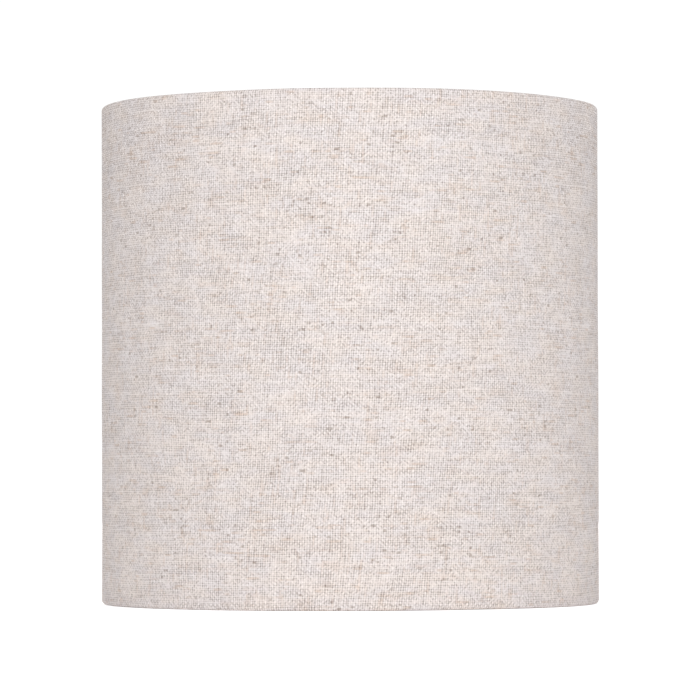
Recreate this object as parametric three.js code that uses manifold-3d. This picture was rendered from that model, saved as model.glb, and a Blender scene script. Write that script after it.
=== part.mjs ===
// A straight drum lamp shade: linen laminated to a white plastic panel, rolled over two wire
// rings, with three arms that carry the ring a lampholder is clamped in. Millimetres, +Z up.
// The origin is the centre of the bottom rim, and the seam is at the back, between two arms.
import * as THREE from "three";
import { mergeVertices } from "three/addons/utils/BufferGeometryUtils.js";
import Module from "manifold-3d";

const wasm = await Module();
wasm.setup();

// Driving dimensions of the skin
const shadeDiameter = 200;
const shadeHeight = 200;
const coverThickness = 0.4;
const panelThickness = 0.3;
const tapeThickness = 0.1;
const layerGap = 0.12; // air between pieces that are glued or seated on each other
const seamLap = 10; // width of the glued overlap
const seamEase = 40; // stretch over which the outer lap climbs onto the inner one
const hemDepth = 10; // from the wire's centre to the hem's cut edge
const hemHug = THREE.MathUtils.degToRad(50); // how far the hem follows the wire past its inside
const hemButtGap = 0.5; // between the two ends of a hem, beside the seam
const tapeReach = THREE.MathUtils.degToRad(100); // each way round the wire, from its outside

// Driving dimensions of the frame
const ringWireDiameter = 2.5;
const armWireDiameter = 2.5;
const armCount = 3;
const firstArmAngle = THREE.MathUtils.degToRad(90);
const seamAngle = THREE.MathUtils.degToRad(135);
const weldGap = 0.3;
const armShelf = 5; // level stretch beside the top ring
const armFallRun = 12; // level distance in which an arm drops to the carrier
const armBend = 3.5; // length of wire that each bend takes from its straights
const armLanding = 4.5; // how far an arm reaches under the carrier
const notchClearance = 1; // between an arm and the hem cut round it
const carrierDrop = 20; // from the top rim to the carrier's upper face
const carrierBore = 42;
const carrierWidth = 9;
const carrierThickness = 1.5;

// Driving dimensions of the loose reducer
const reducerBore = 29;
const reducerClearance = 0.3;
const reducerFlangeWidth = 4;
const reducerFlangeThickness = 1.8;
const reducerSkirt = 4;
const reducerWall = 1.6;

// Fineness of the round shapes
const ringSteps = 56; // a multiple of 8 puts vertices on both axes
const fittingSteps = 48;
const wireSides = 8;
const armSides = 4; // per half turn
const armSteps = 26;

// Places that follow from the driving dimensions
const coverRadius = shadeDiameter / 2;
const wireRadius = ringWireDiameter / 2;
const panelOuterRadius = coverRadius - coverThickness - layerGap;
const panelInnerRadius = panelOuterRadius - panelThickness;
const tapeStack = layerGap + tapeThickness + layerGap;
const ringRadius = panelInnerRadius - tapeStack - wireRadius; // centre of the ring wires
const rollRadius = wireRadius + tapeStack + coverThickness;
const topRingHeight = shadeHeight - rollRadius;
const bottomRingHeight = rollRadius;
const lapClimb = tapeStack + panelThickness + layerGap + coverThickness;
const lapAngle = seamLap / coverRadius;
const easeAngle = seamEase / coverRadius;
const hemStart = lapAngle + hemButtGap / coverRadius;
const skinEnd = 2 * Math.PI + lapAngle; // the skin goes once round and on over the lap
const carrierTop = shadeHeight - carrierDrop;
const carrierBottom = carrierTop - carrierThickness;
const carrierRadius = carrierBore / 2 + carrierWidth;
const armRadius = armWireDiameter / 2;
const armHeight = carrierBottom - layerGap - armRadius;

const colours = {
  linen: { color: 0xe1d8d4, roughness: 0.95, metalness: 0 },
  panel: { color: 0xf1eee8, roughness: 0.45, metalness: 0 },
  tape: { color: 0xe6e0d2, roughness: 0.6, metalness: 0 },
  coatedSteel: { color: 0xeceae4, roughness: 0.4, metalness: 0.1 },
  reducer: { color: 0xf4f2ee, roughness: 0.35, metalness: 0 },
};

const point = (radius, height) => new THREE.Vector2(radius, height);
const mirrored = (p) => point(p.x, shadeHeight - p.y);

function arc(centreRadius, centreHeight, reachOut, reachUp, from, to, steps) {
  return Array.from({ length: steps + 1 }, (_, i) => {
    const turn = from + ((to - from) * i) / steps;
    return point(
      centreRadius + reachOut * Math.cos(turn),
      centreHeight + reachUp * Math.sin(turn),
    );
  });
}

// A closed body whose section, a loop of (radius, height) points, is carried through the angles.
function swept(angles, sectionAt) {
  const sections = angles.map(sectionAt);
  const count = sections[0].length;
  const last = count * (sections.length - 1);
  const positions = [];
  const faces = [];
  sections.forEach((section, i) => {
    const out = new THREE.Vector2(Math.cos(angles[i] + seamAngle), Math.sin(angles[i] + seamAngle));
    for (const p of section) positions.push(p.x * out.x, p.x * out.y, p.y);
  });
  for (let ring = 0; ring < last; ring += count) {
    for (let j = 0; j < count; j++) {
      const here = ring + j;
      const next = ring + ((j + 1) % count);
      faces.push(here, here + count, next, next, here + count, next + count);
    }
  }
  for (const [a, b, c] of THREE.ShapeUtils.triangulateShape(sections[0], [])) {
    faces.push(a, b, c);
  }
  for (const [a, b, c] of THREE.ShapeUtils.triangulateShape(sections.at(-1), [])) {
    faces.push(last + a, last + c, last + b);
  }
  const geometry = new THREE.BufferGeometry();
  geometry.setAttribute("position", new THREE.Float32BufferAttribute(positions, 3));
  return geometry.setIndex(faces);
}

// A closed ring, turned from a loop of (radius, height) points that runs anticlockwise.
function turned(section, steps) {
  const loop = [...section, section[0]];
  return new THREE.LatheGeometry(loop, steps, seamAngle + Math.PI / 2).rotateX(Math.PI / 2);
}

function solid(geometry) {
  const bare = geometry.clone();
  bare.deleteAttribute("normal");
  bare.deleteAttribute("uv");
  const merged = mergeVertices(bare);
  const vertProperties = new Float32Array(merged.attributes.position.array);
  const triVerts = new Uint32Array(merged.index.array);
  return new wasm.Manifold(new wasm.Mesh({ numProp: 3, vertProperties, triVerts }));
}

function geometryOf(manifold) {
  const mesh = manifold.getMesh();
  const geometry = new THREE.BufferGeometry();
  geometry.setAttribute("position", new THREE.BufferAttribute(mesh.vertProperties, 3));
  geometry.setIndex(new THREE.BufferAttribute(mesh.triVerts, 1));
  geometry.computeVertexNormals();
  return geometry;
}

const rectangle = (inner, outer, low, high) => [
  point(inner, low),
  point(outer, low),
  point(outer, high),
  point(inner, high),
];

// Angles round from the seam: the two ends, the evenly spaced ones between them, and the place
// beside the lap where the hems begin, so that the facets of all skin pieces stay parallel.
function anglesBetween(from, to) {
  const step = (2 * Math.PI) / ringSteps;
  const even = Array.from({ length: ringSteps + Math.ceil(lapAngle / step) }, (_, i) => i * step);
  const least = step / 20;
  const inside = [...even, hemStart].filter((angle) => angle > from + least && angle < to - least);
  return [from, ...inside.sort((a, b) => a - b), to];
}

function climbAt(angle) {
  return lapClimb * THREE.MathUtils.smoothstep(angle, 2 * Math.PI - easeAngle, 2 * Math.PI);
}

// One face of the cover at the top rim, from the wall over the wire and down to the hem's edge.
function rimFace(inset, climb) {
  const reach = rollRadius - inset;
  const wallReach = coverRadius + climb - ringRadius - inset;
  const hemRadius = panelInnerRadius - layerGap - coverThickness + inset;
  const overTop = arc(ringRadius, topRingHeight, wallReach, reach, 0, Math.PI / 2, 4);
  const inside = arc(
    ringRadius, topRingHeight, reach, reach, Math.PI / 2, Math.PI + hemHug, 5,
  );
  const returnHeight = topRingHeight - (hemDepth + rollRadius - inset) / 2.5;
  return [
    ...overTop,
    ...inside.slice(1),
    point(hemRadius, returnHeight),
    point(hemRadius, topRingHeight - hemDepth),
  ];
}

function coverSection(climb) {
  const outside = rimFace(0, climb);
  const inside = rimFace(coverThickness, climb);
  return [
    ...outside.map(mirrored).reverse(),
    ...outside,
    ...inside.reverse(),
    ...rimFace(coverThickness, climb).map(mirrored),
  ];
}

// The stretch of hem that is cut away where an arm meets the top ring.
function notchAt(angle) {
  const width = armWireDiameter + 2 * notchClearance;
  const hemEnd = topRingHeight - hemDepth - notchClearance;
  const innermost = ringRadius - rollRadius - notchClearance;
  const panelMiddle = (panelInnerRadius + panelOuterRadius) / 2;
  const outline = new THREE.Shape([
    point(innermost, hemEnd),
    point(panelMiddle, hemEnd),
    point(panelMiddle, topRingHeight - wireRadius),
    point(ringRadius, topRingHeight - wireRadius),
    point(ringRadius, topRingHeight + armRadius + layerGap),
    point(innermost, topRingHeight + armRadius + layerGap),
  ]);
  const cutter = new THREE.ExtrudeGeometry(outline, { depth: width, bevelEnabled: false });
  return solid(cutter.translate(0, 0, -width / 2).rotateX(Math.PI / 2).rotateZ(angle));
}

const armAngles = Array.from(
  { length: armCount },
  (_, i) => firstArmAngle + (i * 2 * Math.PI) / armCount,
);

function fabricCover() {
  const skive = coverThickness / 8; // the inner lap is this much thinner on each face
  const tongue = rectangle(
    coverRadius - coverThickness + skive,
    coverRadius - skive,
    bottomRingHeight,
    topRingHeight,
  );
  const tongueEnd = hemStart + 1 / coverRadius;
  const hemmed = solid(swept(anglesBetween(hemStart, skinEnd), (angle) => coverSection(climbAt(angle))));
  const whole = hemmed.add(solid(swept(anglesBetween(0, tongueEnd), () => tongue)));
  return geometryOf(armAngles.reduce((cover, angle) => cover.subtract(notchAt(angle)), whole));
}

function innerPanel() {
  return swept(anglesBetween(0, skinEnd), (angle) => {
    const climb = climbAt(angle);
    const inner = panelInnerRadius + climb;
    return rectangle(inner, inner + panelThickness, bottomRingHeight, topRingHeight);
  });
}

function seamTape() {
  const inner = coverRadius + layerGap;
  const margin = seamLap / 10;
  const strip = rectangle(
    inner,
    inner + tapeThickness,
    bottomRingHeight + margin,
    topRingHeight - margin,
  );
  const edge = margin / coverRadius;
  return swept(anglesBetween(edge, lapAngle - edge), () => strip);
}

function wireRing(height) {
  const section = arc(ringRadius, height, wireRadius, wireRadius, 0, 2 * Math.PI, wireSides);
  return turned(section.slice(0, -1), ringSteps);
}

function ringTape(height) {
  const inner = wireRadius + layerGap;
  const outer = inner + tapeThickness;
  const section = [
    ...arc(ringRadius, height, outer, outer, -tapeReach, tapeReach, 6),
    ...arc(ringRadius, height, inner, inner, tapeReach, -tapeReach, 6),
  ];
  return turned(section, ringSteps);
}

function carrierRing() {
  const section = rectangle(carrierBore / 2, carrierRadius, carrierBottom, carrierTop);
  return turned(section, fittingSteps);
}

// A wire bent at each inner corner of its route, which lies in the XZ plane.
function bentWire(corners, bend, radius, steps) {
  const route = new THREE.CurvePath();
  let from = corners[0];
  for (let i = 1; i + 1 < corners.length; i++) {
    const corner = corners[i];
    const into = corner.clone().sub(corners[i - 1]).setLength(bend);
    const out = corners[i + 1].clone().sub(corner).setLength(bend);
    const start = corner.clone().sub(into);
    const end = corner.clone().add(out);
    route.add(new THREE.LineCurve3(from, start));
    route.add(new THREE.QuadraticBezierCurve3(start, corner, end));
    from = end;
  }
  route.add(new THREE.LineCurve3(from, corners.at(-1)));
  const section = new THREE.Shape().absarc(0, 0, radius, 0, 2 * Math.PI);
  return new THREE.ExtrudeGeometry(section, {
    steps,
    curveSegments: armSides,
    extrudePath: route,
  });
}

function carrierArm() {
  const start = ringRadius - wireRadius - weldGap;
  const fall = start - armShelf;
  const corners = [
    new THREE.Vector3(start, 0, topRingHeight),
    new THREE.Vector3(fall, 0, topRingHeight),
    new THREE.Vector3(fall - armFallRun, 0, armHeight),
    new THREE.Vector3(carrierRadius - armLanding, 0, armHeight),
  ];
  return bentWire(corners, armBend, armRadius, armSteps);
}

function reducerRing() {
  const bore = reducerBore / 2;
  const skirtOuter = carrierBore / 2 - reducerClearance;
  const seat = carrierTop + layerGap;
  const top = seat + reducerFlangeThickness;
  const section = [
    point(bore, seat),
    point(skirtOuter - reducerWall, seat),
    point(skirtOuter - reducerWall, seat - reducerSkirt),
    point(skirtOuter, seat - reducerSkirt),
    point(skirtOuter, seat),
    point(carrierBore / 2 + reducerFlangeWidth, seat),
    point(carrierBore / 2 + reducerFlangeWidth, top),
    point(bore, top),
  ];
  return turned(section, fittingSteps);
}

const shade = new THREE.Group();

function place(name, geometry, finish, angle = 0) {
  const mesh = new THREE.Mesh(geometry, new THREE.MeshStandardMaterial(colours[finish]));
  mesh.name = name;
  mesh.rotation.z = angle;
  shade.add(mesh);
}

place("fabric_cover", fabricCover(), "linen");
place("inner_panel", innerPanel(), "panel");
place("seam_tape", seamTape(), "tape");
place("top_ring", wireRing(topRingHeight), "coatedSteel");
place("bottom_ring", wireRing(bottomRingHeight), "coatedSteel");
place("top_ring_tape", ringTape(topRingHeight), "tape");
place("bottom_ring_tape", ringTape(bottomRingHeight), "tape");
place("carrier_ring", carrierRing(), "coatedSteel");
armAngles.forEach((angle, i) => place(`carrier_arm_${i + 1}`, carrierArm(), "coatedSteel", angle));
place("reducer_ring", reducerRing(), "reducer");

export default shade;
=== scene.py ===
"""A straight drum lamp shade in flecked linen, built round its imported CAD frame.

The cloth is one sheet: a stiff wall, glued over itself at the back, that rolls over a wire ring at
each rim and is turned in as a hem, cut round the three arms of the fitting. Metres, +Z up.
"""

import math

import bmesh
import bpy
from mathutils import Matrix, Vector, noise


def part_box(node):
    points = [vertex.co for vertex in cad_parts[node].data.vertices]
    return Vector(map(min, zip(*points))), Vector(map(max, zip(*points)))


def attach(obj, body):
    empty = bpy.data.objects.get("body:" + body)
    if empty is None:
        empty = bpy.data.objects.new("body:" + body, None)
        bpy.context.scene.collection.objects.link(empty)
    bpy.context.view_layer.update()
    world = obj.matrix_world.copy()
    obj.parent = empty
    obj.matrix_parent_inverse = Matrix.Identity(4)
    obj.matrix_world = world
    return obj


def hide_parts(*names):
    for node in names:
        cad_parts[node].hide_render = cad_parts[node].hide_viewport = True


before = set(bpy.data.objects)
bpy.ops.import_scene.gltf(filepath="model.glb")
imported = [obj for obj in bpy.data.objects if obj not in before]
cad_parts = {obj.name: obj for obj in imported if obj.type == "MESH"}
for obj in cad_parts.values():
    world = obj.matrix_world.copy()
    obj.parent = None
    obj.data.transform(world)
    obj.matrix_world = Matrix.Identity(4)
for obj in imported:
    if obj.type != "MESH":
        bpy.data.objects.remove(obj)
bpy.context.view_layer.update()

MM = 0.001
TURN = 2 * math.pi

# ---------------------------------------------------------------- sizes, from the frame
cover_low, cover_high = (Vector(corner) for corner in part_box("fabric_cover"))
ring_low, ring_high = (Vector(corner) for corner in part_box("top_ring"))
carrier_low, carrier_high = (Vector(corner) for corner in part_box("carrier_ring"))
arm_low, arm_high = (Vector(corner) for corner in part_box("carrier_arm_1"))
reducer_low, reducer_high = (Vector(corner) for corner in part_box("reducer_ring"))

HEIGHT = cover_high.z - cover_low.z
COVER_RADIUS = cover_high.x
WIRE_RADIUS = (ring_high.z - ring_low.z) / 2
RING_RADIUS = ring_high.x - WIRE_RADIUS
TOP_RING_Z = (ring_low.z + ring_high.z) / 2
ROLL_RADIUS = HEIGHT - TOP_RING_Z
ARM_RADIUS = (arm_high.x - arm_low.x) / 2
ARM_Z = arm_low.z + ARM_RADIUS
CARRIER_RADIUS = carrier_high.x
CARRIER_TOP = carrier_high.z
CARRIER_THICKNESS = carrier_high.z - carrier_low.z
REDUCER_TOP = reducer_high.z
REDUCER_RADIUS = reducer_high.x

# ---------------------------------------------------------------- sizes that the frame doesn't say
CLOTH = 0.4 * MM
PANEL = 0.3 * MM
SEAM_TAPE = 0.1 * MM
GLUE_GAP = 0.12 * MM  # between layers that are glued together
LAP = 10 * MM  # width of the glued overlap at the back
EASE = 40 * MM  # length over which the outer lap climbs onto the inner one
ROLL_FULLNESS = 2.6  # how square the cloth's roll is over the wire; 2 is an ellipse
HEM_DEPTH = 10 * MM  # from the wire's centre to the hem's cut edge
HEM_HUG = math.radians(50)  # how far the hem follows the wire past its inside
HEM_LANDING = 4.6 * MM  # below the wire's centre, where the hem comes to lie on the panel
HEM_KNEE = 3.6 * MM  # below the wire's centre, what the hem aims at as it leaves the wire
HEM_SLACK = 0.15 * MM  # how far that is from the panel
HEM_BUTT_GAP = 0.5 * MM  # between the two ends of a hem, beside the seam
HEM_BLEND = 8 * MM  # length over which the smooth roll turns into the puckered hem
NOTCH_CLEARANCE = 0.7 * MM  # between an arm and the hem that is cut round it
PUSH = 0.006  # how far an arm pushes the hem aside, in radians
PUSH_REACH = math.radians(6)  # how far from the arm that is still felt
SEAM_ANGLE = math.radians(135)
ARM_ANGLES = [math.radians(90 + 120 * i) for i in range(3)]
ARM_SHELF = 5 * MM  # level stretch beside the top ring
ARM_FALL = 12 * MM  # level distance in which an arm drops to the carrier
ARM_LANDING = 4.5 * MM  # how far an arm reaches under the carrier
ARM_BEND = 3.5 * MM
WELD_GAP = 0.3 * MM  # between the ring's wire and the start of the shelf
WELD_DEPTH = 0.6  # where in the ring's wire the arm starts, as a share of the wire's radius
WELD_FLARE = 0.35  # how much thicker the wire is at its weld, as a share
FLARE_LENGTH = 0.8 * MM  # length in which the flare falls to about a third
CUT_ROUNDING = 0.5 * MM  # at the wire's cut end
BEAD_REACH = (1.9 * MM, 0.75 * MM, 0.75 * MM)
BEAD_SIDE = 0.75  # how far a bead is beside the wire's middle, as a share of the wire's radius
LUMP_SIZE = 0.18  # of a bead's lumps, as a share of the bead
LUMP_GRAIN = 2.2  # lumps in a bead's radius
BEAD_SINK = 0.25 * MM  # how far a bead's middle is below the carrier
CARRIER_BORE = 21 * MM  # a radius, as is the reducer's bore
CARRIER_EDGE = 0.35 * MM
REDUCER_BORE = 14.5 * MM
REDUCER_CLEARANCE = 0.3 * MM  # between its skirt and the carrier
REDUCER_FLANGE = 1.8 * MM
REDUCER_WALL = 1.6 * MM
REDUCER_EDGE = 0.3 * MM
RECESS_DEPTH = 0.5 * MM
RECESS_FLOOR = 2.8 * MM  # width of the recess round the bore, on its floor and at its mouth
RECESS_MOUTH = 3.4 * MM
RIBS = 6
RIB_HEIGHT = 0.2 * MM
RIB_END = 0.4 * MM  # below the flange
RIB_SPACING = 30  # from one rib to the next, in half widths of a rib

# Each unevenness: its size, its grain and its seed.
WALL_WAVER = (0.1 * MM, 35 * MM, 0.0)
HEM_PUCKER = (0.2 * MM, 6 * MM, 1.0)
CUT_WAVER = (0.5 * MM, 5 * MM, 2.0)
RIM_WAVER = (0.3 * MM, 60 * MM, 3.0)

PANEL_INNER = COVER_RADIUS - CLOTH - GLUE_GAP - PANEL
LAP_CLIMB = CLOTH + PANEL + SEAM_TAPE + 3 * GLUE_GAP
LAP_ANGLE = LAP / COVER_RADIUS
EASE_ANGLE = EASE / COVER_RADIUS
HEM_START = LAP_ANGLE + HEM_BUTT_GAP / COVER_RADIUS
OVER_STEPS = 12  # from the wall to the top of the wire
INSIDE_STEPS = 12  # from there to where the hem leaves the wire
PANEL_STEPS = 40  # up the panel
BEND_STEPS = 10  # in each bend of an arm

# ---------------------------------------------------------------- weave
TILES = 3  # the weave repeats this many times round the drum
TILE = TURN * COVER_RADIUS / TILES
WARP_PER_TILE = 222
WARP_PITCH = TILE / WARP_PER_TILE
WEFT_PITCH = 0.86 * MM
WARP_LEAN = 0.056  # the warp's drift to the side, as a share of its height
YARN_STEP = 7.3  # keeps the noise of one yarn away from the next one's
WARP_SLUBS, WEFT_SLUBS = 0.3, 0.09  # how quickly the two yarns swell and thin, per millimetre
BACK_TILE = 15  # the tile of the map for baking at which the back and the cut edges start


# ================================================================ mesh helpers
def new_object(name, vertices, faces, smooth_angle=None):
    """A mesh in the scene. With a smooth angle, only edges sharper than that stay hard."""
    mesh = bpy.data.meshes.new(name)
    mesh.from_pydata([tuple(v) for v in vertices], [], faces)
    mesh.update()
    if smooth_angle is not None:
        mesh.shade_smooth()
        mesh.set_sharp_from_angle(angle=math.radians(smooth_angle))
    piece = bpy.data.objects.new(name, mesh)
    bpy.context.scene.collection.objects.link(piece)
    return piece


def apply_modifiers(piece):
    bpy.ops.object.select_all(action="DESELECT")
    piece.select_set(True)
    bpy.context.view_layer.objects.active = piece
    for modifier in list(piece.modifiers):
        bpy.ops.object.modifier_apply(modifier=modifier.name)


def arc(centre_r, centre_z, reach_r, reach_z, start, end, steps, fullness=2.0):
    """Points (radius, height) on part of an ellipse, or of a squarer curve past a fullness of 2."""
    points = []
    for i in range(steps + 1):
        turn = start + (end - start) * i / steps
        c, s = math.cos(turn), math.sin(turn)
        out = math.copysign(abs(c) ** (2 / fullness), c)
        rise = math.copysign(abs(s) ** (2 / fullness), s)
        points.append((centre_r + reach_r * out, centre_z + reach_z * rise))
    return points


def lengths_along(path):
    """Distance of each point of a path from its first point."""
    total, found = 0.0, [0.0]
    for a, b in zip(path, path[1:]):
        total += math.dist(a, b)
        found.append(total)
    return found


def smooth(x):
    """0 up to 0, 1 from 1, and an even step between them."""
    x = min(max(x, 0.0), 1.0)
    return x * x * (3 - 2 * x)


def bend(start, knee, end, t):
    """A point on the curve that leaves start and reaches end, both aimed at the knee."""
    return start * (1 - t) ** 2 + knee * 2 * t * (1 - t) + end * t * t


def rounded(corners, radius, steps=4):
    """A closed loop with each of its corners replaced by an arc-like curve."""
    loop = []
    for i, corner in enumerate(corners):
        here = Vector(corner)
        before, after = Vector(corners[i - 1]) - here, Vector(corners[(i + 1) % len(corners)]) - here
        reach = min(radius, before.length * 0.45, after.length * 0.45)
        start, end = here + before.normalized() * reach, here + after.normalized() * reach
        loop += [tuple(bend(start, here, end, k / steps)) for k in range(steps + 1)]
    return loop


def lathe(name, loop, steps, radius_at=None):
    """A closed ring turned from a loop of (radius, height) points."""
    vertices, faces, count = [], [], len(loop)
    for i in range(steps):
        angle = TURN * i / steps
        for r, z in loop:
            if radius_at:
                r = radius_at(angle, r, z)
            vertices.append((r * math.cos(angle), r * math.sin(angle), z))
        for j in range(count):
            a, b = i * count + j, i * count + (j + 1) % count
            c, d = ((i + 1) % steps) * count + (j + 1) % count, ((i + 1) % steps) * count + j
            faces.append((a, d, c, b))
    return new_object(name, vertices, faces, smooth_angle=35)


# ================================================================ material helpers
class Shader:
    """A material with a Principled surface, and short ways to add nodes to it."""

    def __init__(self, name, **surface):
        self.material = bpy.data.materials.new(name)
        self.material.use_nodes = True
        self.tree = self.material.node_tree
        self.surface = self.tree.nodes["Principled BSDF"]
        for socket, value in surface.items():
            self.surface.inputs[socket.replace("_", " ")].default_value = value

    def node(self, kind, **settings):
        made = self.tree.nodes.new(kind)
        for name, value in settings.items():
            setattr(made, name, value)
        return made

    def feed(self, socket, value):
        if isinstance(value, bpy.types.NodeSocket):
            self.tree.links.new(value, socket)
        elif value is not None:
            socket.default_value = value

    def math(self, operation, a, b=None, c=None):
        made = self.node("ShaderNodeMath", operation=operation)
        for socket, value in zip(made.inputs, (a, b, c)):
            self.feed(socket, value)
        return made.outputs[0]

    def join(self, x, y, z):
        made = self.node("ShaderNodeCombineXYZ")
        for socket, value in zip(made.inputs, (x, y, z)):
            self.feed(socket, value)
        return made.outputs[0]

    def split(self, vector):
        made = self.node("ShaderNodeSeparateXYZ")
        self.feed(made.inputs[0], vector)
        return made.outputs

    def scaled(self, vector, by):
        made = self.node("ShaderNodeVectorMath", operation="MULTIPLY")
        self.feed(made.inputs[0], vector)
        made.inputs[1].default_value = by
        return made.outputs[0]

    def shifted(self, vector, by):
        """The vector moved by a seed, so that two noises are not alike."""
        made = self.node("ShaderNodeVectorMath", operation="ADD")
        self.feed(made.inputs[0], vector)
        made.inputs[1].default_value = (by, by * 1.7, by * 2.3)
        return made.outputs[0]

    def object_place(self):
        """Where a point is on its object, in millimetres."""
        return self.scaled(self.node("ShaderNodeTexCoord").outputs["Object"], (1 / MM, 1 / MM, 1 / MM))

    def noise(self, vector, scale=1.0, detail=2.0):
        made = self.node("ShaderNodeTexNoise")
        self.feed(made.inputs["Vector"], vector)
        made.inputs["Scale"].default_value = scale
        made.inputs["Detail"].default_value = detail
        return made.outputs["Fac"]

    def chance(self, number):
        """A number from 0 to 1 that is the same wherever the given number is."""
        made = self.node("ShaderNodeTexWhiteNoise", noise_dimensions="1D")
        self.feed(made.inputs["W"], number)
        return made.outputs["Value"]

    def between(self, value, low, high, to_low=0.0, to_high=1.0):
        """The value's place between low and high, smoothed and carried to another range."""
        made = self.node("ShaderNodeMapRange", interpolation_type="SMOOTHSTEP")
        for socket, x in zip(made.inputs, (value, low, high, to_low, to_high)):
            self.feed(socket, x)
        return made.outputs[0]

    def mix(self, share, a, b, kind="MIX"):
        made = self.node("ShaderNodeMix", data_type="RGBA", blend_type=kind)
        self.feed(made.inputs[0], share)
        self.feed(made.inputs[6], a)
        self.feed(made.inputs[7], b)
        return made.outputs[2]

    def bump(self, height, distance, strength=1.0):
        made = self.node("ShaderNodeBump")
        made.inputs["Distance"].default_value = distance
        made.inputs["Strength"].default_value = strength
        self.feed(made.inputs["Height"], height)
        self.feed(self.surface.inputs["Normal"], made.outputs[0])

    def colour(self, value):
        self.feed(self.surface.inputs["Base Color"], value)

    def roughness(self, value):
        self.feed(self.surface.inputs["Roughness"], value)


def rgb(red, green, blue):
    """A screen colour, 0 to 255, as the linear colour that a shader takes."""
    parts = [x / 255 for x in (red, green, blue)]
    return (*(x / 12.92 if x < 0.04 else ((x + 0.055) / 1.055) ** 2.4 for x in parts), 1)


# ================================================================ materials
PALE_YARN = rgb(251, 243, 241)
DULL_YARN = rgb(220, 211, 208)
COOL_TINT = rgb(251, 252, 254)
WARM_TINT = rgb(255, 253, 250)
# painted shade for the hollows between the yarns
PAINTED_GAP_SHADE = rgb(130, 117, 108)
TAN_FLECK = rgb(206, 174, 148)
DARK_FLECK = rgb(142, 122, 106)


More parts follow.
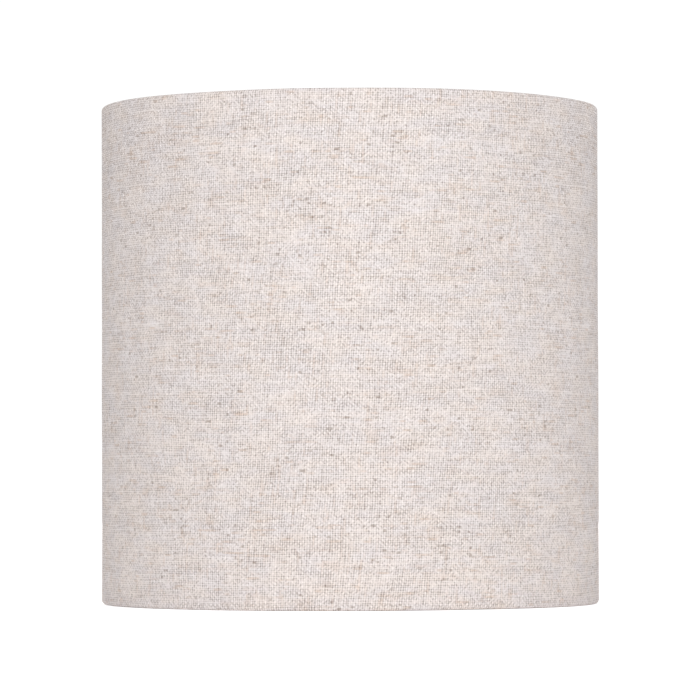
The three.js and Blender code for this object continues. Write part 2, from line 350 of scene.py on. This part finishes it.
class Weave(Shader):
    """A plain weave. The map named cloth holds each point's place on the sheet, in metres."""

    def __init__(self, name, **surface):
        super().__init__(name, **surface)
        uv = self.node("ShaderNodeUVMap", uv_map="cloth").outputs[0]
        across, self.up, _ = self.split(self.scaled(uv, (1 / MM, 1 / MM, 1)))
        self.round_x, self.round_y = self.wrapped(across, TILE / MM)
        self.place = self.join(self.round_x, self.round_y, self.up)

        leaning = self.math("MULTIPLY_ADD", self.up, -WARP_LEAN, across)
        small = self.uneven(stretch=(0.9, 0.9, 0.06), size=0.9, seed=3.1)
        large = self.uneven(stretch=(0.02, 0.02, 0.02), size=4.0, seed=9.2)
        self.warp_at = self.counted(leaning, WARP_PITCH, small, large)
        small = self.uneven(stretch=(0.05, 0.05, 0.8), size=0.8, seed=17.4)
        large = self.uneven(stretch=(0.012, 0.012, 0.02), size=2.5, seed=5.5)
        self.weft_at = self.counted(self.up, WEFT_PITCH, small, large)
        self.warp = self.math("FLOORED_MODULO", self.math("FLOOR", self.warp_at), WARP_PER_TILE)
        self.weft = self.math("FLOOR", self.weft_at)

        # A noise along each yarn, which knows nothing of its neighbours.
        step = self.math("MULTIPLY", self.warp, YARN_STEP)
        self.warp_slub = self.noise(self.join(step, 0.0, self.math("MULTIPLY", self.up, WARP_SLUBS)))
        step = self.math("MULTIPLY", self.weft, YARN_STEP)
        self.weft_slub = self.noise(self.join(*self.stretched_round(WEFT_SLUBS), step))

    def wrapped(self, value, period):
        """A place on a circle one tile round, so that a noise meets itself after the period."""
        turn = self.math("MULTIPLY", value, TURN / period)
        radius = TILE / MM / TURN
        x = self.math("MULTIPLY", self.math("COSINE", turn), radius)
        y = self.math("MULTIPLY", self.math("SINE", turn), radius)
        return x, y

    def stretched_round(self, stretch):
        """The place round the drum, for a noise that is finer as the stretch grows."""
        return [self.math("MULTIPLY", part, stretch) for part in (self.round_x, self.round_y)]

    def cloudy(self, stretch, seed, detail=2):
        """Noise over the cloth, finer as the stretch (per millimetre) grows."""
        spot = self.shifted(self.scaled(self.place, stretch), seed)
        return self.noise(spot, 1.0, detail)

    def uneven(self, stretch, size, seed):
        """A signed unevenness, from minus to plus half its size."""
        return self.math("MULTIPLY_ADD", self.cloudy(stretch, seed), size, -size / 2)

    def counted(self, along, pitch, small, large):
        """Where a point is, counted in yarns, with uneven spacing and a slow wander."""
        moved = self.math("ADD", self.math("ADD", along, small), large)
        return self.math("DIVIDE", moved, pitch / MM)

    def crown(self, at):
        """A yarn's round back: 0 at its sides and 1 along its middle."""
        half_turn = self.math("MULTIPLY", self.math("FRACT", at), math.pi)
        return self.math("POWER", self.math("SINE", half_turn), 0.8)

    def relief(self):
        """The height of the yarn that lies on top, and whether that is the warp."""
        odd = self.math("FLOORED_MODULO", self.math("ADD", self.warp, self.weft), 2.0)
        sign = self.math("MULTIPLY_ADD", odd, -2.0, 1.0)
        warp_crown, weft_crown = self.crown(self.warp_at), self.crown(self.weft_at)

        def yarn_height(own, other, middle, swing, slub):
            """A yarn lies higher than its middle where it crosses over the other, and lower where under."""
            lift = self.math("MULTIPLY_ADD", self.math("MULTIPLY", sign, other), swing, middle)
            thickness = self.math("MULTIPLY_ADD", slub, 0.8, 0.6)
            return self.math("MULTIPLY", self.math("MULTIPLY", own, lift), thickness)

        warp_height = yarn_height(warp_crown, weft_crown, middle=0.54, swing=0.4, slub=self.warp_slub)
        weft_height = yarn_height(weft_crown, warp_crown, middle=0.44, swing=-0.44, slub=self.weft_slub)
        height = self.math("MAXIMUM", warp_height, weft_height)
        return height, self.math("GREATER_THAN", warp_height, weft_height)

    def yarn_colours(self, warp_on_top):
        """Each yarn has its own tone, and is paler or duller along its length."""

        def tone(index, slub, seed, most, base):
            own = self.chance(self.math("ADD", index, seed))
            return self.math("MULTIPLY_ADD", own, most, self.between(slub, 0.25, 0.75, base, base + 0.34))

        warp_tone = tone(self.warp, self.warp_slub, seed=500.5, most=0.15, base=0.48)
        weft_tone = tone(self.weft, self.weft_slub, seed=0.5, most=0.36, base=0.18)
        weft_on_top = self.math("SUBTRACT", 1.0, warp_on_top)
        shown_warp = self.math("MULTIPLY", warp_on_top, warp_tone)
        shown_weft = self.math("MULTIPLY", weft_on_top, weft_tone)
        yarns = self.mix(self.math("ADD", shown_warp, shown_weft), DULL_YARN, PALE_YARN)
        hue = self.between(self.cloudy(stretch=(0.07, 0.07, 0.16), seed=53.0, detail=3), 0.3, 0.7)
        return self.mix(1.0, yarns, self.mix(hue, COOL_TINT, WARM_TINT), "MULTIPLY")

    def flecked(self, yarns):
        """Flecks are spun into a yarn, so each keeps to a run of one yarn or of a few side by side."""
        warp_x, warp_y = self.wrapped(self.warp, WARP_PER_TILE)
        gathered = self.uneven(stretch=(0.04, 0.04, 0.06), size=0.14, seed=97.0)

        def found(spot, seed, share, most):
            near = self.math("ADD", self.noise(self.shifted(spot, seed), 1.0, 2), gathered)
            return self.between(near, share, share + 0.14, 0.0, most)

        def weft_fleck(per_mm, per_yarn, seed, share, most):
            spot = self.join(*self.stretched_round(per_mm), self.math("MULTIPLY", self.weft, per_yarn))
            return found(spot, seed, share, most)

        def warp_fleck(per_mm, per_yarn, seed, share, most):
            sides = [self.math("MULTIPLY", part, per_yarn) for part in (warp_x, warp_y)]
            return found(self.join(*sides, self.math("MULTIPLY", self.up, per_mm)), seed, share, most)

        patches = weft_fleck(per_mm=0.09, per_yarn=0.3, seed=41.0, share=0.56, most=0.14)
        upright = warp_fleck(per_mm=0.12, per_yarn=0.6, seed=67.0, share=0.58, most=0.2)
        dashes = weft_fleck(per_mm=0.12, per_yarn=0.9, seed=19.0, share=0.6, most=0.34)
        specks = weft_fleck(per_mm=0.36, per_yarn=1.3, seed=83.0, share=0.62, most=0.55)
        for tan in (patches, upright, dashes):
            yarns = self.mix(tan, yarns, TAN_FLECK)
        return self.mix(specks, yarns, DARK_FLECK)

    def with_painted_gap_shade(self, yarns, height):
        """Painted shade in the hollow between four yarns: a dark dot, deeper in some places than in others.
        """
        nearest = self.math("FLOOR", self.math("ADD", self.warp_at, 0.5))
        gap_warp = self.math("FLOORED_MODULO", nearest, WARP_PER_TILE)
        gap_weft = self.math("FLOOR", self.math("ADD", self.weft_at, 0.5))
        # Each gap has a number of its own, which decides how deep its painted shade is.
        number = self.math("MULTIPLY_ADD", gap_weft, 113.7, self.math("MULTIPLY", gap_warp, 7.31))
        mottle = self.cloudy(stretch=(0.075, 0.075, 0.12), seed=29.0, detail=3)
        openness = self.math("MULTIPLY_ADD", self.chance(number), 0.8, mottle)
        deepest = self.between(openness, 0.3, 1.4, 0.15, 0.82)
        # painted shade: darker where the yarns lie low, deepest in the gaps
        depth = self.between(height, 0.05, 0.85, deepest, 0.0)
        return self.mix(depth, yarns, self.mix(1.0, yarns, PAINTED_GAP_SHADE, "MULTIPLY"))


def linen():
    """Plain weave of uneven pale yarns, with painted shade in the gaps at the crossings and soft tan and
    dark flecks.
    """
    weave = Weave("linen", Roughness=0.95, Sheen_Weight=0.05, Sheen_Roughness=0.5)
    height, warp_on_top = weave.relief()
    yarns = weave.flecked(weave.yarn_colours(warp_on_top))
    # the colour carries painted shade in the gaps between the yarns
    weave.colour(weave.with_painted_gap_shade(yarns, height))
    weave.bump(height, 0.2 * MM)
    return weave.material


def panel_sheet():
    """Satin white plastic sheet with the faint print of the cloth that is glued to it."""
    s = Shader("white_panel", Specular_IOR_Level=0.4)
    place = s.object_place()
    cloudy = s.noise(place, 0.05, 3)
    s.colour(s.mix(cloudy, rgb(236, 233, 226), rgb(246, 244, 240)))
    s.roughness(s.between(s.noise(place, 0.4, 3), 0.3, 0.7, 0.42, 0.55))
    s.bump(s.noise(s.scaled(place, (1, 1, 1.1)), 1.1, 2), 0.03 * MM, 0.6)
    return s.material


def coated_steel():
    """White powder coat, with its orange-peel texture and a greyer tone where it is thin."""
    s = Shader("powder_coat", Specular_IOR_Level=0.5)
    place = s.object_place()
    thin = s.between(s.noise(place, 0.35, 4), 0.45, 0.75)
    s.colour(s.mix(thin, rgb(240, 238, 234), rgb(232, 230, 225)))
    s.roughness(s.between(s.noise(place, 2.0, 2), 0.3, 0.7, 0.34, 0.48))
    s.bump(s.noise(place, 2.4, 2), 0.05 * MM, 0.7)
    return s.material


def moulded_plastic():
    """White moulded plastic with faint flow marks and a fine grain."""
    s = Shader("moulded_plastic", Specular_IOR_Level=0.5, Coat_Weight=0.1)
    place = s.object_place()
    flow = s.noise(s.scaled(place, (0.2, 0.2, 1.2)), 0.9, 3)
    s.colour(s.mix(flow, rgb(243, 241, 236), rgb(250, 249, 246)))
    s.roughness(s.between(s.noise(place, 1.2, 2), 0.3, 0.7, 0.28, 0.4))
    s.bump(s.noise(place, 5.0, 2), 0.01 * MM, 0.6)
    return s.material


def sticky_tape():
    """Double-sided tape: translucent cream with trapped air along its length."""
    s = Shader("sticky_tape", Roughness=0.5)
    place = s.object_place()
    air = s.between(s.noise(s.scaled(place, (1, 1, 0.4)), 0.8, 3), 0.5, 0.62)
    s.colour(s.mix(air, rgb(226, 217, 196), rgb(240, 234, 220)))
    s.bump(s.noise(place, 1.5, 2), 0.02 * MM, 0.5)
    return s.material


# ================================================================ the skin
def rim_path(inset, climb):
    """One sheet's path (radius, height) at the top rim, from the wall to the hem's cut edge."""
    reach = ROLL_RADIUS - inset
    wall_reach = COVER_RADIUS + climb - RING_RADIUS - inset
    hem_radius = PANEL_INNER - CLOTH + inset
    over = arc(RING_RADIUS, TOP_RING_Z, wall_reach, reach, 0, math.pi / 2, OVER_STEPS, ROLL_FULLNESS)
    inside = arc(RING_RADIUS, TOP_RING_Z, reach, reach, math.pi / 2, math.pi + HEM_HUG, INSIDE_STEPS)[1:]
    leave, land = Vector(inside[-1]), Vector((hem_radius, TOP_RING_Z - HEM_LANDING))
    knee = Vector((hem_radius - HEM_SLACK, TOP_RING_Z - HEM_KNEE))
    fall = [tuple(bend(leave, knee, land, t)) for t in (0.25, 0.5, 0.75, 1.0)]
    cut = TOP_RING_Z - HEM_DEPTH
    hem = [(hem_radius, land.y + (cut - land.y) * t) for t in (0.35, 0.7, 1.0)]
    return over + inside + fall + hem


def sheet_path(inset, climb, wall_rows=60):
    """The whole sheet's path, from the bottom hem's edge up the wall to the top hem's edge."""
    top = rim_path(inset, climb)
    bottom = [(r, HEIGHT - z) for r, z in reversed(top)]
    low, high = bottom[-1], top[0]
    wall = [(low[0], low[1] + (high[1] - low[1]) * i / wall_rows) for i in range(1, wall_rows)]
    return bottom + wall + top, len(bottom), len(wall)


def climb_at(angle):
    """How far the outer lap has climbed onto the inner one."""
    return LAP_CLIMB * smooth((angle - (TURN - EASE_ANGLE)) / EASE_ANGLE)


def wobble(angle, height, size, grain, seed):
    """An unevenness of a size, in waves about as long as the grain, that is the same at every run."""
    spot = Vector((math.cos(angle), math.sin(angle), 0)) * COVER_RADIUS
    return size * noise.noise((spot + Vector((0, 0, height + seed))) / grain)


def skin_angles(extra):
    """Every degree round the sheet, except where an extra angle lies close by and stands for it."""
    even = [math.radians(i) for i in range(int(math.degrees(TURN + LAP_ANGLE)) + 1)]
    close = math.radians(0.25)
    kept = [a for a in even if all(abs(a - b) > close for b in extra)]
    return sorted(kept + extra)


def arm_places():
    """The arms' angles, counted from the seam."""
    return [(angle - SEAM_ANGLE) % TURN for angle in ARM_ANGLES]


def pushed_aside(angle, turned_in):
    """How far round the drum the nearest arm pushes a turned-in point of the hem."""
    push = 0.0
    for arm in arm_places():
        away = angle - arm
        if abs(away) < PUSH_REACH and turned_in > 0:
            push += math.copysign(turned_in * PUSH * (1 - abs(away) / PUSH_REACH), away)
    return push


def cover_points(angles, path, first_wall, last_wall):
    """The cloth's points, column by column: an even wall, slightly puckered hems and wavy cut edges."""
    rise = lengths_along(path)
    top_start, bottom_start = rise[last_wall + OVER_STEPS], rise[first_wall - OVER_STEPS]
    points = []
    for angle in angles:
        column, _, _ = sheet_path(CLOTH / 2, climb_at(angle))
        for j, (r, z) in enumerate(column):
            turned_in = smooth((rise[j] - top_start) / HEM_BLEND)
            hem = max(turned_in, smooth((bottom_start - rise[j]) / HEM_BLEND))
            r += wobble(angle, z, *WALL_WAVER) * (1 - hem)
            r -= abs(wobble(angle, z, *HEM_PUCKER)) * hem
            if j in (0, len(path) - 1):
                z += wobble(angle, z, *CUT_WAVER)
            z += wobble(angle, 0.0, *RIM_WAVER)
            at = angle + pushed_aside(angle, turned_in) + SEAM_ANGLE
            points.append((r * math.cos(at), r * math.sin(at), z))
    return points


def linen_cover():
    """The cloth: a grid round the drum without its cut-outs, given its thickness afterwards."""
    half_notch = (ARM_RADIUS + NOTCH_CLEARANCE) / RING_RADIUS
    notch_edges = [a + side * half_notch for a in arm_places() for side in (-1, 1)]
    angles = skin_angles([0.0, HEM_START, TURN, TURN + LAP_ANGLE] + notch_edges)
    path, low_rows, wall_rows = sheet_path(CLOTH / 2, 0)
    rows = len(path)
    first_wall, last_wall = low_rows - 1, low_rows + wall_rows

    def kept(i, j):
        """The inner lap has no hems, and the top hem is cut round the arms."""
        middle = (angles[i] + angles[i + 1]) / 2
        if middle < HEM_START:
            return first_wall <= j < last_wall
        beside_arm = any(abs(middle - a) < half_notch for a in arm_places())
        return not (beside_arm and j > last_wall + OVER_STEPS + 1)

    cells = [(i, j) for i in range(len(angles) - 1) for j in range(rows - 1) if kept(i, j)]
    cell_corners = [((i, j), (i + 1, j), (i + 1, j + 1), (i, j + 1)) for i, j in cells]
    faces = [tuple(i * rows + j for i, j in corners) for corners in cell_corners]
    cover = new_object("linen_cover", cover_points(angles, path, first_wall, last_wall), faces)
    cloth = cover.data.uv_layers.new(name="cloth")
    rise = lengths_along(path)
    for face, corners in zip(cover.data.polygons, cell_corners):
        for loop, (i, j) in zip(face.loop_indices, corners):
            cloth.data[loop].uv = (angles[i] * COVER_RADIUS, rise[j])
    thicken(cover, CLOTH)
    bake_map(cover, rise[-1])
    return cover


def thicken(piece, thickness):
    """Gives a sheet its thickness, with the back and the cut edges marked as slots 1 and 2."""
    bare = bmesh.new()
    bare.from_mesh(piece.data)
    loose = [v for v in bare.verts if not v.link_faces]
    bmesh.ops.delete(bare, geom=loose, context="VERTS")
    bare.to_mesh(piece.data)
    bare.free()
    for _ in range(3):
        piece.data.materials.append(None)
    solid = piece.modifiers.new("thickness", "SOLIDIFY")
    solid.thickness = thickness
    solid.offset = 0
    solid.use_even_offset = True
    solid.material_offset = 1
    solid.material_offset_rim = 2
    apply_modifiers(piece)


def bake_map(piece, rise):
    """A second map for baking: one tile of the face side fills it, and the rest repeats that tile."""
    mesh = piece.data
    cloth = mesh.uv_layers["cloth"]
    baked = mesh.uv_layers.new(name="OFBake")
    for face in mesh.polygons:
        start = 0 if face.material_index == 0 else BACK_TILE
        for loop in face.loop_indices:
            u, v = cloth.data[loop].uv
            baked.data[loop].uv = (u / TILE + start, v / rise)
        face.material_index = 0
    while len(mesh.materials) > 1:
        mesh.materials.pop()
    mesh.uv_layers.active = cloth


def finish_mesh(piece):
    """Smooth all over, except at the cut edges."""
    piece.data.shade_smooth()
    piece.data.set_sharp_from_angle(angle=math.radians(40))


def white_panel():
    """The stiff sheet inside the cloth, which laps over itself in the same way."""
    angles = skin_angles([0.0, TURN, TURN + LAP_ANGLE])
    low, high = HEIGHT - TOP_RING_Z, TOP_RING_Z
    vertices, faces = [], []
    for angle in angles:
        for j in range(PANEL_STEPS + 1):
            z = low + (high - low) * j / PANEL_STEPS
            r = PANEL_INNER + PANEL / 2 + climb_at(angle) + wobble(angle, z, *WALL_WAVER)
            at = angle + SEAM_ANGLE
            vertices.append((r * math.cos(at), r * math.sin(at), z))
    for i in range(len(angles) - 1):
        for j in range(PANEL_STEPS):
            a = i * (PANEL_STEPS + 1) + j
            b = a + PANEL_STEPS + 1
            faces.append((a, b, b + 1, a + 1))
    panel = new_object("white_panel", vertices, faces)
    solid = panel.modifiers.new("thickness", "SOLIDIFY")
    solid.thickness = PANEL
    solid.offset = 0
    apply_modifiers(panel)
    return panel


# ================================================================ the fitting
def ring_wire(name, height):
    """A round wire bent into a ring, at a height."""
    section = arc(RING_RADIUS, height, WIRE_RADIUS, WIRE_RADIUS, 0, TURN, steps=20)[:-1]
    return lathe(name, section, steps=240)


def tube(route, radius_at, sides=20):
    """Vertices and faces of a capped tube along a route of points in the XZ plane."""
    vertices, faces = [], []
    for i, here in enumerate(route):
        ahead = route[min(i + 1, len(route) - 1)] - route[max(i - 1, 0)]
        ahead.normalize()
        side = Vector((0, 1, 0))
        up = ahead.cross(side)
        r = radius_at(i)
        for k in range(sides):
            turn = TURN * k / sides
            vertices.append(here + (side * math.cos(turn) + up * math.sin(turn)) * r)
    for i in range(len(route) - 1):
        for k in range(sides):
            a, b = i * sides + k, i * sides + (k + 1) % sides
            faces.append((a, b, b + sides, a + sides))
    faces.append(tuple(reversed(range(sides))))
    faces.append(tuple(range((len(route) - 1) * sides, len(route) * sides)))
    return vertices, faces


def bent_route(corners, reach, spacing):
    """Points along straights joined by round bends, each of which takes the reach on both sides."""
    route = [corners[0]]

    def straight(to):
        start = route[-1]
        count = max(1, round((to - start).length / spacing))
        route.extend(start.lerp(to, k / count) for k in range(1, count + 1))

    for i in range(1, len(corners) - 1):
        here = corners[i]
        start = here + (corners[i - 1] - here).normalized() * reach
        end = here + (corners[i + 1] - here).normalized() * reach
        straight(start)
        route += [bend(start, here, end, k / BEND_STEPS) for k in range(1, BEND_STEPS + 1)]
    straight(corners[-1])
    return route


def bead(centre, reach, seed):
    """A lumpy bead of weld metal, as vertices and faces."""
    made = bmesh.new()
    bmesh.ops.create_icosphere(made, subdivisions=3, radius=1)
    vertices = []
    for v in made.verts:
        lump = 1 + LUMP_SIZE * noise.noise(v.co * LUMP_GRAIN + Vector((seed, 0, 0)))
        vertices.append(centre + Vector(c * s for c, s in zip(v.co * lump, reach)))
    faces = [tuple(v.index for v in f.verts) for f in made.faces]
    made.free()
    return vertices, faces


def joined(name, parts, turn):
    """One object from several pairs of vertices and faces, turned about Z."""
    vertices, faces = [], []
    spin = Matrix.Rotation(turn, 3, "Z")
    for some_vertices, some_faces in parts:
        base = len(vertices)
        vertices += [spin @ v for v in some_vertices]
        faces += [tuple(base + k for k in face) for face in some_faces]
    return new_object(name, vertices, faces, smooth_angle=45)


def arm_corners():
    """An arm's corners in the XZ plane, from the top ring down to the underside of the carrier."""
    start = RING_RADIUS - WIRE_RADIUS * WELD_DEPTH
    shelf_end = RING_RADIUS - WIRE_RADIUS - WELD_GAP - ARM_SHELF
    return [
        Vector((start, 0, TOP_RING_Z)),
        Vector((shelf_end, 0, TOP_RING_Z)),
        Vector((shelf_end - ARM_FALL, 0, ARM_Z)),
        Vector((CARRIER_RADIUS - ARM_LANDING, 0, ARM_Z)),
    ]


def carrier_arm(number, angle):
    """A bent wire that flares into its weld at the ring, with two beads of weld under the carrier."""
    route = bent_route(arm_corners(), reach=ARM_BEND, spacing=1.0 * MM)
    run = lengths_along(route)

    def radius_at(i):
        flare = WELD_FLARE * math.exp(-run[i] / FLARE_LENGTH)
        cut = max(0.0, 1 - (run[-1] - run[i]) / CUT_ROUNDING)
        return ARM_RADIUS * (1 + flare) * math.sqrt(1 - 0.5 * cut)

    landing = CARRIER_RADIUS - ARM_LANDING / 2
    seat = CARRIER_TOP - CARRIER_THICKNESS - BEAD_SINK
    beads = [
        bead(Vector((landing, side * ARM_RADIUS * BEAD_SIDE, seat)), BEAD_REACH, number * 10 + side)
        for side in (-1, 1)
    ]
    return joined(f"welded_arm_{number}", [tube(route, radius_at), *beads], angle)


def fitting_ring():
    """The pressed ring that a lampholder is clamped in."""
    underside = CARRIER_TOP - CARRIER_THICKNESS
    corners = [
        (CARRIER_BORE, underside),
        (CARRIER_RADIUS, underside),
        (CARRIER_RADIUS, CARRIER_TOP),
        (CARRIER_BORE, CARRIER_TOP),
    ]
    return lathe("fitting_ring", rounded(corners, CARRIER_EDGE), steps=160)


def plastic_reducer():
    """The loose ring: a flange that lies on the carrier, with a sunk inner edge, and a ribbed skirt."""
    seat = REDUCER_TOP - REDUCER_FLANGE
    sunk = REDUCER_TOP - RECESS_DEPTH
    skirt = CARRIER_BORE - REDUCER_CLEARANCE
    foot = reducer_low.z
    corners = [
        (REDUCER_BORE, seat),
        (skirt - REDUCER_WALL, seat),
        (skirt - REDUCER_WALL, foot),
        (skirt, foot),
        (skirt, seat),
        (REDUCER_RADIUS, seat),
        (REDUCER_RADIUS, REDUCER_TOP),
        (REDUCER_BORE + RECESS_MOUTH, REDUCER_TOP),
        (REDUCER_BORE + RECESS_FLOOR, sunk),
        (REDUCER_BORE, sunk),
    ]

    def with_ribs(angle, r, z):
        """Upright crush ribs on the outside of the skirt."""
        if r < skirt - REDUCER_WALL / 2 or z > seat - RIB_END:
            return r
        off = (angle / TURN * RIBS + 0.5) % 1 - 0.5
        return r + RIB_HEIGHT * max(0.0, 1 - abs(off) * RIB_SPACING)

    return lathe("plastic_reducer", rounded(corners, REDUCER_EDGE), steps=360, radius_at=with_ribs)


# ================================================================ assembly
def dress(piece, material, slot, body, *nodes):
    """Gives a piece its material, its body and the CAD nodes that it stands for. The slot is not used."""
    piece.data.materials.clear()
    piece.data.materials.append(material)
    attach(piece, body)
    if nodes:
        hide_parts(*nodes)


steel = coated_steel()
cover = linen_cover()
finish_mesh(cover)
dress(cover, linen(), "linen", "shade", "fabric_cover")
panel = white_panel()
finish_mesh(panel)
dress(panel, panel_sheet(), "panel", "shade", "inner_panel")
dress(ring_wire("top_wire", TOP_RING_Z), steel, "coated_steel", "shade", "top_ring")
dress(ring_wire("bottom_wire", HEIGHT - TOP_RING_Z), steel, "coated_steel", "shade", "bottom_ring")
for number, angle in enumerate(ARM_ANGLES, start=1):
    arm = carrier_arm(number, angle)
    dress(arm, steel, "coated_steel", "shade", f"carrier_arm_{number}")
dress(fitting_ring(), steel, "coated_steel", "shade", "carrier_ring")
dress(plastic_reducer(), moulded_plastic(), "reducer_plastic", "reducer", "reducer_ring")

tape = sticky_tape()
for node in ("seam_tape", "top_ring_tape", "bottom_ring_tape"):
    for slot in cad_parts[node].material_slots:
        slot.material = tape

hemmed_height = lengths_along(sheet_path(CLOTH / 2, 0)[0])[-1]


# ================================================================ floor, light and camera
FLOOR_SEEN, FLOOR_LIGHT = 0.52, 0.14  # the floor's glow, for the camera and as a light
WORLD_SEEN, WORLD_LIGHT = 1.05, 0.52  # the same for the white all round
LENS = 231.6
EYE_DISTANCE = 18.17 * COVER_RADIUS
EYE_HEIGHT = 0.543 * COVER_RADIUS
EYE_TILT = math.radians(1.51)
EYE_ROLL = math.radians(-0.129)


def floor():
    """A plain white sweep under the object, which glows a little except where the object stands."""
    reach = 6.0
    corners = [(-reach, -reach, 0), (reach, -reach, 0), (reach, reach, 0), (-reach, reach, 0)]
    ground = new_object("floor", corners, [(0, 1, 2, 3)])
    s = Shader("white_floor", Roughness=0.9)
    place = s.node("ShaderNodeTexCoord").outputs["Object"]
    s.colour(s.mix(s.noise(place, 3.0, 2), rgb(250, 250, 250), rgb(254, 254, 254)))
    s.surface.inputs["Emission Color"].default_value = (1, 1, 1, 1)
    x, y, _ = s.split(place)
    away = s.math("SQRT", s.math("ADD", s.math("MULTIPLY", x, x), s.math("MULTIPLY", y, y)))
    seen = s.node("ShaderNodeLightPath").outputs["Is Camera Ray"]
    glow = s.math("MULTIPLY_ADD", seen, FLOOR_SEEN - FLOOR_LIGHT, FLOOR_LIGHT)
    outside = s.between(away, 0.9 * COVER_RADIUS, COVER_RADIUS)
    s.feed(s.surface.inputs["Emission Strength"], s.math("MULTIPLY", glow, outside))
    ground.data.materials.append(s.material)


def surroundings():
    """White all round for the camera, and dimmer as a light, so that the front light shapes the drum."""
    world = bpy.data.worlds.new("studio")
    bpy.context.scene.world = world
    world.use_nodes = True
    tree = world.node_tree
    light = tree.nodes["Background"]
    seen = tree.nodes.new("ShaderNodeBackground")
    for background, strength in ((light, WORLD_LIGHT), (seen, WORLD_SEEN)):
        background.inputs["Color"].default_value = (1, 1, 1, 1)
        background.inputs["Strength"].default_value = strength
    path = tree.nodes.new("ShaderNodeLightPath")
    choose = tree.nodes.new("ShaderNodeMixShader")
    tree.links.new(path.outputs["Is Camera Ray"], choose.inputs[0])
    tree.links.new(light.outputs[0], choose.inputs[1])
    tree.links.new(seen.outputs[0], choose.inputs[2])
    tree.links.new(choose.outputs[0], tree.nodes["World Output"].inputs["Surface"])


def soft_light(name, place, aim, size, power):
    """A round studio light, turned to face its aim."""
    data = bpy.data.lights.new(name, "AREA")
    data.shape = "DISK"
    data.size = size
    data.energy = power
    lamp = bpy.data.objects.new(name, data)
    bpy.context.scene.collection.objects.link(lamp)
    lamp.location = place
    lamp.rotation_euler = (Vector(aim) - Vector(place)).to_track_quat("-Z", "Y").to_euler()


def camera():
    """A long lens level with the lower part of the shade, tilted up a little and not quite level."""
    data = bpy.data.cameras.new("camera")
    data.sensor_width = 36
    data.lens = LENS
    data.clip_end = 50
    eye = bpy.data.objects.new("camera", data)
    bpy.context.scene.collection.objects.link(eye)
    place = Matrix.Translation((0, -EYE_DISTANCE, EYE_HEIGHT))
    tilt = Matrix.Rotation(math.radians(90) + EYE_TILT, 4, "X")
    eye.matrix_world = place @ tilt @ Matrix.Rotation(EYE_ROLL, 4, "Z")
    bpy.context.scene.camera = eye


floor()
surroundings()
soft_light("front_softbox", place=(0.16, -2.6, 0.8), aim=(0, 0, 0.1), size=1.2, power=27.8)
soft_light("overhead_softbox", place=(0, -0.2, 2.4), aim=(0, 0, 0), size=2.6, power=11.5)
soft_light("back_softbox", place=(-0.3, 2.6, 0.8), aim=(0, 0, 0.1), size=1.2, power=20)
camera()
scene = bpy.context.scene
scene.view_settings.view_transform = "Standard"
